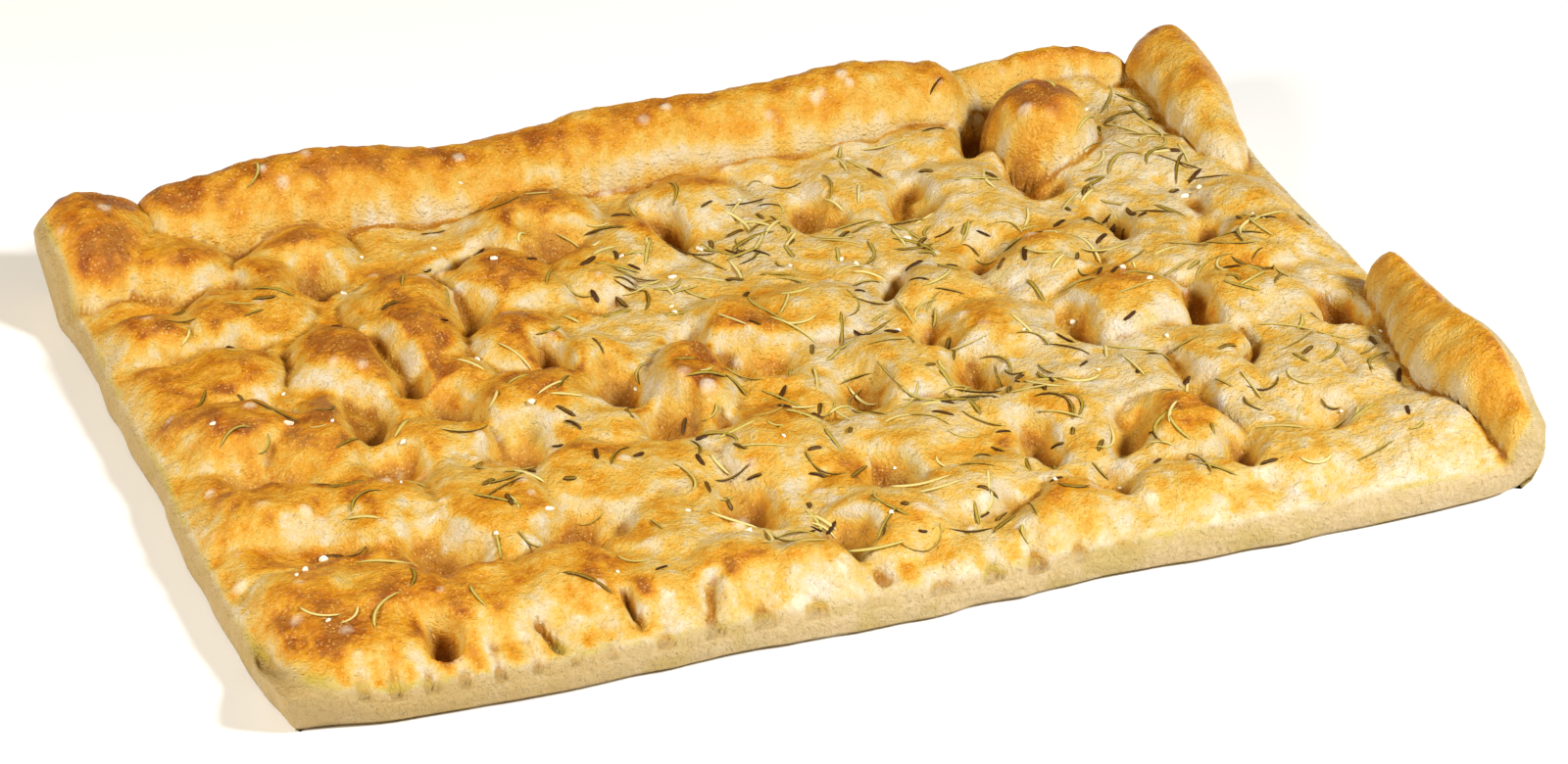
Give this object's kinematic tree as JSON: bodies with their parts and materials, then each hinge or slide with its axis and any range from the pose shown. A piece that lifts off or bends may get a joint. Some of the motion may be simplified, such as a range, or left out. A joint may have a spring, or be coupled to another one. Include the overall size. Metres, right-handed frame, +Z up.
{
  "type": "gluten-free focaccia",
  "caption": "Whole rectangular gluten-free focaccia, pressed full of finger pits, with rolled crusts, rosemary needles and coarse salt.",
  "frame": {"origin": "middle of the slab's box, on the surface it rests on", "axes": "+X along its long side, towards the side with the folded flap; +Y across it, towards the rolled back crust; +Z up"},
  "size_m": [0.4046, 0.2908, 0.0395],
  "materials": {
    "crust": "baked dough, pale to golden, with a thin sheen of oil",
    "rosemary": "baked herb needles, olive green to dark brown",
    "salt": "coarse salt crystals, cloudy white"
  },
  "bodies": {
    "root": {"focaccia": "crust"}
  },
  "joints": []
}
